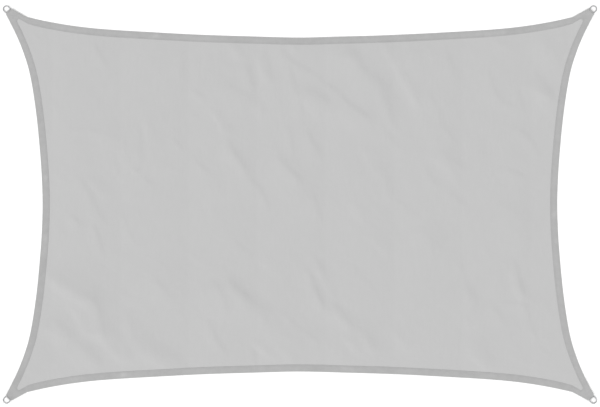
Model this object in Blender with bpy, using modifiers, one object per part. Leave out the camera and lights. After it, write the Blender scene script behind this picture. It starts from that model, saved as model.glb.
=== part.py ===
"""Rectangular shade sail, 3 m by 2 m from ring to ring, lying face up on a flat surface.

One panel of knitted shade cloth has four inward-curving sides, each with a turned hem. At
every corner a folded length of webbing is sewn to the back of the cloth and holds a welded
steel D-ring. The cloth lies flat, but for low creases that slant down to the right.

Metres. +X runs along the long sides, +Y along the short sides, +Z is up. The origin is at
the middle of the sail, on the surface that it lies on.
"""

import math

import bmesh
import bpy
from mathutils import Vector

# Sail, from the middle of one ring's eye to the middle of the next.
SPAN_X = 3.000
SPAN_Y = 2.000
DIAGONAL = math.sqrt(0.5)

# Cloth. The hem is the panel's own edge, turned over once and sewn down. It is as wide along
# Y all the way on a long side, and along X on a short side. Its inner corners are blunt.
CLOTH_THICKNESS = 0.0015
HEM_THICKNESS = 0.0030
HEM_WIDTH = 0.036
HEM_STEP = 0.0015
HEM_CORNER = 0.081  # from the eye's middle to the hem's inner corner
FIELD_CORNER = 0.083
LONG_FOOT = 1.437  # along a long side, where the hem's straight inner edge begins
SHORT_FOOT = 0.936

# Outline. A side is level at its middle, follows its rows and then runs straight to the tip.
LONG_SIDE = (
    # from the side's middle, from the sail's middle line
    (0.000, 0.8530),
    (0.250, 0.8590),
    (0.500, 0.8670),
    (0.750, 0.8800),
    (1.000, 0.8955),
    (1.150, 0.9115),
    (1.280, 0.9330),
    (1.392, 0.9570),
)
SHORT_SIDE = (
    # from the side's middle, from the sail's middle line
    (0.000, 1.3145),
    (0.150, 1.3190),
    (0.300, 1.3300),
    (0.450, 1.3450),
    (0.600, 1.3665),
    (0.700, 1.3875),
    (0.800, 1.4205),
    (0.883, 1.4555),
)
TIP_SETBACK = 0.0199  # from the eye's middle to the cloth's square-cut tip
TIP_HALF_WIDTH = 0.0200

# D-ring: bent wire, a half-round bow, two straight legs and a bar.
WIRE = 0.0050
WIRE_SIDES = 12
WIRE_CORNER = WIRE / 2 / math.cos(math.pi / WIRE_SIDES)
RING_HALF_WIDTH = 0.0156  # to the middle of the wire
RING_CORNER = 0.0035
BOW_CENTRE = 0.0007  # inwards from the eye's middle
BAR = 0.0167  # inwards from the eye's middle
BOW_SEGMENTS = 13  # odd, so that one facet faces the sail from the middle of the bow
CORNER_SEGMENTS = 4
BOW_HEIGHT = 0.00254  # of the wire's middle, where the bow's tip touches the surface

# Webbing loop round the bar, with both tails under the cloth.
WEBBING_THICKNESS = 0.0015
WEBBING_WIDTH = 0.0245
WEBBING_TAIL = 0.058
GAP = 0.0005
LOOP_SEGMENTS = 10
BAR_HEIGHT = WEBBING_THICKNESS + GAP + WIRE_CORNER

# Height of the cloth's underside where a corner lies on its webbing.
CORNER_LIFT = (
    # inwards from the eye's middle, height
    (0.020, 0.0086),
    (0.048, 0.0041),
    (0.080, 0.0039),
    (0.150, 0.0000),
)

# Main creases. Each rises from the lower left to its crest and falls off to the upper right.
FOLDS = (
    # x and y of the upper end, x and y of the lower end, rise, fall, height
    # lower left
    (-1.305, -0.355, -1.030, -0.520, 0.060, 0.055, 0.0075),
    (-1.075, -0.440, -1.010, -0.695, 0.070, 0.050, 0.0070),
    (-1.000, -0.625, -0.845, -0.825, 0.065, 0.050, 0.0070),
    (-1.325, -0.550, -1.020, -0.850, 0.065, 0.055, 0.0050),
    (-0.905, -0.550, -0.815, -0.725, 0.060, 0.050, 0.0045),
    (-0.845, -0.705, -0.580, -0.860, 0.060, 0.055, 0.0075),
    (-0.775, -0.325, -0.540, -0.615, 0.110, 0.125, 0.0040),
    # lower middle
    (-0.475, -0.400, -0.395, -0.590, 0.060, 0.050, 0.0040),
    (-0.410, -0.385, -0.160, -0.620, 0.080, 0.050, 0.0075),
    (-0.190, -0.600, 0.030, -0.770, 0.075, 0.055, 0.0040),
    (0.045, -0.430, 0.185, -0.590, 0.060, 0.050, 0.0045),
    (0.165, -0.530, 0.415, -0.775, 0.075, 0.050, 0.0050),
    (0.135, -0.685, 0.260, -0.850, 0.130, 0.050, 0.0030),
    # left and middle
    (-0.925, 0.440, -0.865, 0.165, 0.110, 0.055, 0.0025),
    (-0.750, 0.505, -0.725, 0.125, 0.050, 0.130, 0.0025),
    (-0.375, 0.310, -0.180, -0.030, 0.055, 0.050, 0.0030),
    (-0.115, 0.275, 0.090, -0.065, 0.090, 0.050, 0.0035),
    # upper middle
    (-0.465, 0.635, -0.250, 0.470, 0.080, 0.070, 0.0040),
    (-0.020, 0.565, 0.400, 0.390, 0.065, 0.060, 0.0055),
    (0.155, 0.920, 0.270, 0.695, 0.120, 0.050, 0.0090),
    (0.260, 0.735, 0.505, 0.420, 0.120, 0.060, 0.0060),
    (0.470, 0.920, 0.545, 0.695, 0.110, 0.150, 0.0070),
    (0.515, 0.745, 0.645, 0.430, 0.050, 0.250, 0.0035),
    (0.645, 0.430, 0.850, 0.060, 0.050, 0.080, 0.0030),
    # upper right
    (1.125, 0.635, 1.340, 0.480, 0.050, 0.055, 0.0060),
    (1.180, 0.865, 1.355, 0.710, 0.065, 0.060, 0.0045),
    # lower right
    (0.605, -0.105, 0.700, -0.275, 0.100, 0.070, 0.0040),
    (0.805, -0.390, 0.915, -0.620, 0.100, 0.050, 0.0035),
    (0.850, -0.675, 0.995, -0.890, 0.060, 0.050, 0.0035),
    (1.015, -0.005, 1.190, -0.210, 0.100, 0.090, 0.0045),
)
FOLD_TAPER = (0.45, 1.15)  # a crease fades out between these shares of its half length
FLAT_AT_HEM = 0.20  # share of a crease's height that is left at the outer edge
FREE_OF_HEM = 0.110  # distance from the edge where a crease has its full height

# Grid lines of one quarter of the cloth, counted inwards from its outline.
INSETS = (0.0, HEM_WIDTH / 2, HEM_WIDTH, HEM_WIDTH + HEM_STEP)
HEM_LINE = 2
FIELD_LINE = 3
COLUMNS = 27
ROWS = 19

# Corners, as the signs of their X and Y.
CORNERS = {"ne": (1, 1), "nw": (-1, 1), "sw": (-1, -1), "se": (1, -1)}

TIP_IN = TIP_SETBACK * DIAGONAL
TIP_OUT = TIP_HALF_WIDTH * DIAGONAL
LONG_TIP = (SPAN_X / 2 - TIP_IN - TIP_OUT, SPAN_Y / 2 - TIP_IN + TIP_OUT)
SHORT_TIP = (SPAN_Y / 2 - TIP_IN - TIP_OUT, SPAN_X / 2 - TIP_IN + TIP_OUT)


def smooth_step(low, high, value):
    """Rise from 0 at low to 1 at high, level at both."""
    t = min(max((value - low) / (high - low), 0.0), 1.0)
    return t * t * (3 - 2 * t)


def read_table(rows, value):
    """Straight-line reading between a table's rows, and level beyond its ends."""
    if value <= rows[0][0]:
        return rows[0][1]
    for (x0, y0), (x1, y1) in zip(rows, rows[1:]):
        if value <= x1:
            return y0 + (y1 - y0) * (value - x0) / (x1 - x0)
    return rows[-1][1]


def side_at(rows, tip, along):
    """Distance of a side of the outline from the middle line."""
    last = rows[-1]
    if along >= last[0]:
        return last[1] + (tip[1] - last[1]) / (tip[0] - last[0]) * (along - last[0])
    slopes = [0.0]
    slopes += [(c[1] - a[1]) / (c[0] - a[0]) for a, c in zip(rows, rows[2:])]
    slopes.append((last[1] - rows[-2][1]) / (last[0] - rows[-2][0]))
    i = max(k for k, row in enumerate(rows) if row[0] <= along)
    (x0, y0), (x1, y1) = rows[i], rows[i + 1]
    run = x1 - x0
    t = (along - x0) / run
    a = slopes[i] * run - (y1 - y0)
    b = (y1 - y0) - slopes[i + 1] * run
    return y0 + t * (y1 - y0) + t * (1 - t) * (a * (1 - t) + b * t)


def long_point(along, inset):
    """Point that lies straight in along Y from the upper side."""
    return Vector((along, side_at(LONG_SIDE, LONG_TIP, along) - inset))


def short_point(along, inset):
    """Point that lies straight in along X from the right side."""
    return Vector((side_at(SHORT_SIDE, SHORT_TIP, along) - inset, along))


def on_diagonal(inwards):
    """Point that lies in from the eye's middle, straight along the corner's diagonal."""
    return Vector((SPAN_X / 2 - inwards * DIAGONAL, SPAN_Y / 2 - inwards * DIAGONAL))


def blend_patch(s, t, sides, corners):
    """Point of a four-sided patch, from the points at s and t on its sides and its corners."""
    near, far, left, right = sides
    c00, c10, c01, c11 = corners
    between = near.lerp(far, t) + left.lerp(right, s)
    return between - c00.lerp(c10, s).lerp(c01.lerp(c11, s), t)


def stations(foot, bend, lines):
    """Distances along a side at its grid lines: its foot, its bend and even steps to the middle."""
    steps = lines - FIELD_LINE - 1
    return [foot] + [bend * (steps - k) / steps for k in range(steps + 1)]


LONG_STATIONS = stations(LONG_FOOT, LONG_SIDE[-1][0], COLUMNS)
SHORT_STATIONS = stations(SHORT_FOOT, SHORT_SIDE[-1][0], ROWS)

# Outline points of a corner, from the middle of its tip to level with the hem's inner corner.
INNER = on_diagonal(HEM_CORNER)
TIP_MIDDLE = on_diagonal(TIP_SETBACK)
LONG_FLANK = (TIP_MIDDLE, Vector(LONG_TIP), long_point(INNER.x, 0.0))
SHORT_FLANK = (TIP_MIDDLE, Vector(SHORT_TIP).yx, short_point(INNER.y, 0.0))


def plan(column, row):
    """Place of a grid point in the +X +Y quarter. Lines count in from the short and long side."""
    if column <= HEM_LINE and row <= HEM_LINE:
        return corner_point(column, row)
    corner = on_diagonal(FIELD_CORNER)
    if column == row == FIELD_LINE:
        return corner
    if row <= FIELD_LINE <= column:
        return long_point(LONG_STATIONS[column - FIELD_LINE], INSETS[row])
    if column <= FIELD_LINE:
        return short_point(SHORT_STATIONS[row - FIELD_LINE], INSETS[column])
    inset = INSETS[FIELD_LINE]
    along_x = LONG_STATIONS[column - FIELD_LINE]
    along_y = SHORT_STATIONS[row - FIELD_LINE]
    s = along_x / corner.x
    t = along_y / corner.y
    top = long_point(along_x, inset)
    right = short_point(along_y, inset)
    middle = Vector((0.0, 0.0))
    top_middle = long_point(0.0, inset)
    right_middle = short_point(0.0, inset)
    sides = (s * right_middle, top, t * top_middle, right)
    return blend_patch(s, t, sides, (middle, right_middle, top_middle, corner))


def corner_point(column, row):
    """Grid point of a hemmed corner, between the outline's flanks and the two hem lines."""
    s = column / HEM_LINE
    t = row / HEM_LINE
    sides = (
        LONG_FLANK[column],
        SHORT_FLANK[HEM_LINE].lerp(INNER, s),
        SHORT_FLANK[row],
        LONG_FLANK[HEM_LINE].lerp(INNER, t),
    )
    ends = (TIP_MIDDLE, LONG_FLANK[HEM_LINE], SHORT_FLANK[HEM_LINE], INNER)
    return blend_patch(s, t, sides, ends)


def fold_height(x, y, fold):
    """Height that one crease adds at a point."""
    x0, y0, x1, y1, rise, fall, height = fold
    way = Vector((x1 - x0, y1 - y0))
    offset = Vector((x - (x0 + x1) / 2, y - (y0 + y1) / 2))
    along = abs(offset.dot(way)) / (way.length_squared / 2)
    across = way.cross(offset) / way.length
    width = fall if across > 0 else rise
    fade = 1 - smooth_step(*FOLD_TAPER, along)
    return height * fade * math.exp(-((across / width) ** 2))


def underside(x, y):
    """Height of the cloth's underside."""
    inwards = (SPAN_X / 2 - abs(x) + SPAN_Y / 2 - abs(y)) * DIAGONAL
    from_long = side_at(LONG_SIDE, LONG_TIP, abs(x)) - abs(y)
    from_short = side_at(SHORT_SIDE, SHORT_TIP, abs(y)) - abs(x)
    free = smooth_step(0.0, FREE_OF_HEM, min(from_long, from_short))
    share = FLAT_AT_HEM + (1 - FLAT_AT_HEM) * free
    folds = sum(fold_height(x, y, fold) for fold in FOLDS)
    return read_table(CORNER_LIFT, inwards) + share * folds


def make_material(name, colour, roughness, metallic=0.0):
    material = bpy.data.materials.new(name)
    material.use_nodes = True
    shader = material.node_tree.nodes["Principled BSDF"]
    shader.inputs["Base Color"].default_value = (*colour, 1.0)
    shader.inputs["Roughness"].default_value = roughness
    shader.inputs["Metallic"].default_value = metallic
    return material


def add_object(name, data, collection, material):
    thing = bpy.data.objects.new(name, data)
    data.materials.append(material)
    collection.objects.link(thing)
    return thing


def sail_cloth(collection, material):
    """The whole panel with its hem: one warped grid, thickened upwards, more so at the hem."""
    net = bmesh.new()
    bmesh.ops.create_grid(net, x_segments=2 * COLUMNS, y_segments=2 * ROWS, size=1.0)
    thickness = net.verts.layers.deform.new()
    for point in net.verts:
        i = round((point.co.x + 1) * COLUMNS)
        j = round((point.co.y + 1) * ROWS)
        column = min(i, 2 * COLUMNS - i)
        row = min(j, 2 * ROWS - j)
        place = plan(column, row)
        x = math.copysign(place.x, i - COLUMNS)
        y = math.copysign(place.y, j - ROWS)
        point.co = (x, y, underside(x, y))
        hemmed = min(column, row) <= HEM_LINE
        point[thickness][0] = 1.0 if hemmed else CLOTH_THICKNESS / HEM_THICKNESS
    mesh = bpy.data.meshes.new("sail_cloth")
    net.to_mesh(mesh)
    net.free()
    mesh.shade_smooth()
    cloth = add_object("sail_cloth", mesh, collection, material)
    cloth.vertex_groups.new(name="thickness")
    shell = cloth.modifiers.new("Thickness", "SOLIDIFY")
    shell.thickness = HEM_THICKNESS
    shell.offset = 1.0
    shell.vertex_group = "thickness"
    return cloth


def arc(centre, radius, start, end, segments):
    """Points of an arc in a plane, both ends included, from angles in degrees."""
    points = []
    for k in range(segments + 1):
        angle = math.radians(start + (end - start) * k / segments)
        points.append((centre[0] + radius * math.cos(angle), centre[1] + radius * math.sin(angle)))
    return points


def ring_curve():
    """Closed wire in its own plane. Its origin is the bar's middle, and the bow is at -X.

    The wire's flats face along and square to that plane.
    """
    bend_x = -RING_CORNER
    bend_y = RING_HALF_WIDTH - RING_CORNER
    path = arc((BOW_CENTRE - BAR, 0.0), RING_HALF_WIDTH, 90, 270, BOW_SEGMENTS)
    path += arc((bend_x, -bend_y), RING_CORNER, 270, 360, CORNER_SEGMENTS)
    path += arc((bend_x, bend_y), RING_CORNER, 0, 90, CORNER_SEGMENTS)
    curve = bpy.data.curves.new("corner_ring", "CURVE")
    curve.dimensions = "3D"
    curve.bevel_depth = WIRE_CORNER
    curve.bevel_resolution = WIRE_SIDES // 2 - 2
    wire = curve.splines.new("POLY")
    wire.points.add(len(path) - 1)
    for point, (x, y) in zip(wire.points, path):
        point.co = (x, y, 0.0, 1.0)
        point.tilt = math.pi / WIRE_SIDES
    wire.use_cyclic_u = True
    return curve


def loop_mesh():
    """Ribbon that comes in under the bar, round it and back over its own lower tail."""
    radius = WIRE_CORNER + GAP + WEBBING_THICKNESS / 2
    low = WEBBING_THICKNESS / 2
    high = low + WEBBING_THICKNESS + GAP
    path = [(WEBBING_TAIL, low)]
    path += arc((0.0, BAR_HEIGHT), radius, -90, -315, LOOP_SEGMENTS)
    drop = path[-1][1] - high
    path.append((path[-1][0] + drop, high))
    path.append((WEBBING_TAIL, high))
    ribbon = bmesh.new()
    rungs = []
    for x, z in path:
        rungs.append([ribbon.verts.new((x, side * WEBBING_WIDTH / 2, z)) for side in (-1, 1)])
    for (a, b), (c, d) in zip(rungs, rungs[1:]):
        ribbon.faces.new((a, b, d, c))
    mesh = bpy.data.meshes.new("corner_loop")
    ribbon.to_mesh(mesh)
    ribbon.free()
    return mesh


def place_at_corner(thing, signs, height, tilt=0.0):
    """Put the origin on the ring's bar line, with local +X pointing in along the diagonal."""
    x = signs[0] * (SPAN_X / 2 - BAR * DIAGONAL)
    y = signs[1] * (SPAN_Y / 2 - BAR * DIAGONAL)
    thing.location = (x, y, height)
    thing.rotation_euler = (0.0, -tilt, math.atan2(-signs[1], -signs[0]))


def corner_fittings(collection, steel, webbing):
    """A ring and its loop at each corner. The bow of a ring tips down onto the surface."""
    ring = ring_curve()
    loop = loop_mesh()
    tilt = math.asin((BAR_HEIGHT - BOW_HEIGHT) / (BAR - BOW_CENTRE + RING_HALF_WIDTH))
    for corner, signs in CORNERS.items():
        wire = bpy.data.objects.new(f"corner_ring_{corner}", ring)
        collection.objects.link(wire)
        place_at_corner(wire, signs, BAR_HEIGHT, tilt)
        tape = bpy.data.objects.new(f"corner_loop_{corner}", loop)
        collection.objects.link(tape)
        place_at_corner(tape, signs, 0.0)
        shell = tape.modifiers.new("Thickness", "SOLIDIFY")
        shell.thickness = WEBBING_THICKNESS
        shell.offset = 0.0
        shell.use_even_offset = True
    ring.materials.append(steel)
    loop.materials.append(webbing)


def build():
    for thing in list(bpy.data.objects):
        bpy.data.objects.remove(thing, do_unlink=True)
    collection = bpy.data.collections.new("shade_sail")
    bpy.context.scene.collection.children.link(collection)
    cloth = make_material("cloth", (0.565, 0.565, 0.565), 0.85)
    webbing = make_material("webbing", (0.445, 0.445, 0.445), 0.80)
    steel = make_material("steel", (0.70, 0.70, 0.70), 0.28, metallic=1.0)
    sail_cloth(collection, cloth)
    corner_fittings(collection, steel, webbing)


build()
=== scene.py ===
"""Visual model of a light grey shade sail that lies on a pale floor, seen from straight above.

The cloth is one thin knitted sheet whose edges are turned over into a sewn hem. It repeats the
outline and the main folds of its solid and adds the finer creases. Webbing loops, D-rings and
all stitching are pieces of their own.

Metres, in the row's frame: +X along the long sides, +Z up.
"""

import math

import bpy
import numpy as np
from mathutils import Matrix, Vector
from mathutils.bvhtree import BVHTree


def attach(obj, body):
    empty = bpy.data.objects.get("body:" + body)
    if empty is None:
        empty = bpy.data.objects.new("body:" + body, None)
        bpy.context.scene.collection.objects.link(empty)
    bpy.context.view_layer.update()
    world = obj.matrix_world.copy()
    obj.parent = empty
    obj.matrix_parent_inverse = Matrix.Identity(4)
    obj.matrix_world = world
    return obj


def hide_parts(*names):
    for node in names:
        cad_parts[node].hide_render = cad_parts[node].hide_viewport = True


MM = 0.001

# Outline, as the solid has it. The sail's spans are from ring eye to ring eye, and each point of
# a side has its distances from the side's middle and from the sail's middle line.
SPAN_X = 3.000
SPAN_Y = 2.000
DIAGONAL = math.sqrt(0.5)
LONG_SIDE = np.array((
    (0.000, 0.8530), (0.250, 0.8590), (0.500, 0.8670), (0.750, 0.8800),
    (1.000, 0.8955), (1.150, 0.9115), (1.280, 0.9330), (1.392, 0.9570),
))
SHORT_SIDE = np.array((
    (0.000, 1.3145), (0.150, 1.3190), (0.300, 1.3300), (0.450, 1.3450),
    (0.600, 1.3665), (0.700, 1.3875), (0.800, 1.4205), (0.883, 1.4555),
))
TIP_SETBACK = 0.0199  # from the eye's middle to the cloth's blunt tip
TIP_HALF_WIDTH = 0.0200
TIP_IN = TIP_SETBACK * DIAGONAL
TIP_OUT = TIP_HALF_WIDTH * DIAGONAL
TIP_MIDDLE = np.array((SPAN_X / 2 - TIP_IN, SPAN_Y / 2 - TIP_IN))
LONG_TIP = TIP_MIDDLE + (-TIP_OUT, TIP_OUT)  # the tip's end on a long side
SHORT_TIP = TIP_MIDDLE[::-1] + (-TIP_OUT, TIP_OUT)  # its end on a short side, as Y and X

# Hem. Its width is along Y on a long side, where it draws in a little towards the ends, and along
# X on a short side.
HEM_WIDTH = 0.036
HEM_DRAWS_IN = 0.14  # of its width
DRAWS_IN_AT = (1.330, 1.430)  # between these distances from the side's middle
HEM_CORNER = 0.081  # from the eye's middle to the hem's blunt inner corner
FIELD_CORNER = 0.083  # and to the field's corner just inside it
LONG_FOOT = 1.437  # along a long side, where the hem's straight inner edge begins
SHORT_FOOT = 0.936  # and along a short side

# Height of the cloth's underside where a corner lies on its webbing, at distances inwards from
# the eye's middle.
CORNER_LIFT = np.array(((0.020, 0.0086), (0.048, 0.0041), (0.080, 0.0039), (0.150, 0.0000)))

# Main folds, as the solid has them.
FOLDS = (
    # x and y of the upper end, and of the lower end, widths of rise and fall, height
    # lower left
    (-1.305, -0.355, -1.030, -0.520, 0.060, 0.055, 0.0075),
    (-1.075, -0.440, -1.010, -0.695, 0.070, 0.050, 0.0070),
    (-1.000, -0.625, -0.845, -0.825, 0.065, 0.050, 0.0070),
    (-1.325, -0.550, -1.020, -0.850, 0.065, 0.055, 0.0050),
    (-0.905, -0.550, -0.815, -0.725, 0.060, 0.050, 0.0045),
    (-0.845, -0.705, -0.580, -0.860, 0.060, 0.055, 0.0075),
    (-0.775, -0.325, -0.540, -0.615, 0.110, 0.125, 0.0040),
    # lower middle
    (-0.475, -0.400, -0.395, -0.590, 0.060, 0.050, 0.0040),
    (-0.410, -0.385, -0.160, -0.620, 0.080, 0.050, 0.0075),
    (-0.190, -0.600, 0.030, -0.770, 0.075, 0.055, 0.0040),
    (0.045, -0.430, 0.185, -0.590, 0.060, 0.050, 0.0045),
    (0.165, -0.530, 0.415, -0.775, 0.075, 0.050, 0.0050),
    (0.135, -0.685, 0.260, -0.850, 0.130, 0.050, 0.0030),
    # left and middle
    (-0.925, 0.440, -0.865, 0.165, 0.110, 0.055, 0.0025),
    (-0.750, 0.505, -0.725, 0.125, 0.050, 0.130, 0.0025),
    (-0.375, 0.310, -0.180, -0.030, 0.055, 0.050, 0.0030),
    (-0.115, 0.275, 0.090, -0.065, 0.090, 0.050, 0.0035),
    # upper middle
    (-0.465, 0.635, -0.250, 0.470, 0.080, 0.070, 0.0040),
    (-0.020, 0.565, 0.400, 0.390, 0.065, 0.060, 0.0055),
    (0.155, 0.920, 0.270, 0.695, 0.120, 0.050, 0.0090),
    (0.260, 0.735, 0.505, 0.420, 0.120, 0.060, 0.0060),
    (0.470, 0.920, 0.545, 0.695, 0.110, 0.150, 0.0070),
    (0.515, 0.745, 0.645, 0.430, 0.050, 0.250, 0.0035),
    (0.645, 0.430, 0.850, 0.060, 0.050, 0.080, 0.0030),
    # upper right
    (1.125, 0.635, 1.340, 0.480, 0.050, 0.055, 0.0060),
    (1.180, 0.865, 1.355, 0.710, 0.065, 0.060, 0.0045),
    # lower right
    (0.605, -0.105, 0.700, -0.275, 0.100, 0.070, 0.0040),
    (0.805, -0.390, 0.915, -0.620, 0.100, 0.050, 0.0035),
    (0.850, -0.675, 0.995, -0.890, 0.060, 0.050, 0.0035),
    (1.015, -0.005, 1.190, -0.210, 0.100, 0.090, 0.0045),
)
FOLD_TAPER = (0.45, 1.15)  # a fold fades out between these shares of its half length
FLAT_AT_HEM = 0.20  # a fold has this share of its height at the cloth's edge
FREE_OF_HEM = 0.110  # and its whole height from this distance inwards

# Size of the photograph's pixels, and the pixel on which the sail's middle lies.
PIXEL = 0.00511
MIDDLE_PIXEL = (299.4, 204.1)

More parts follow.
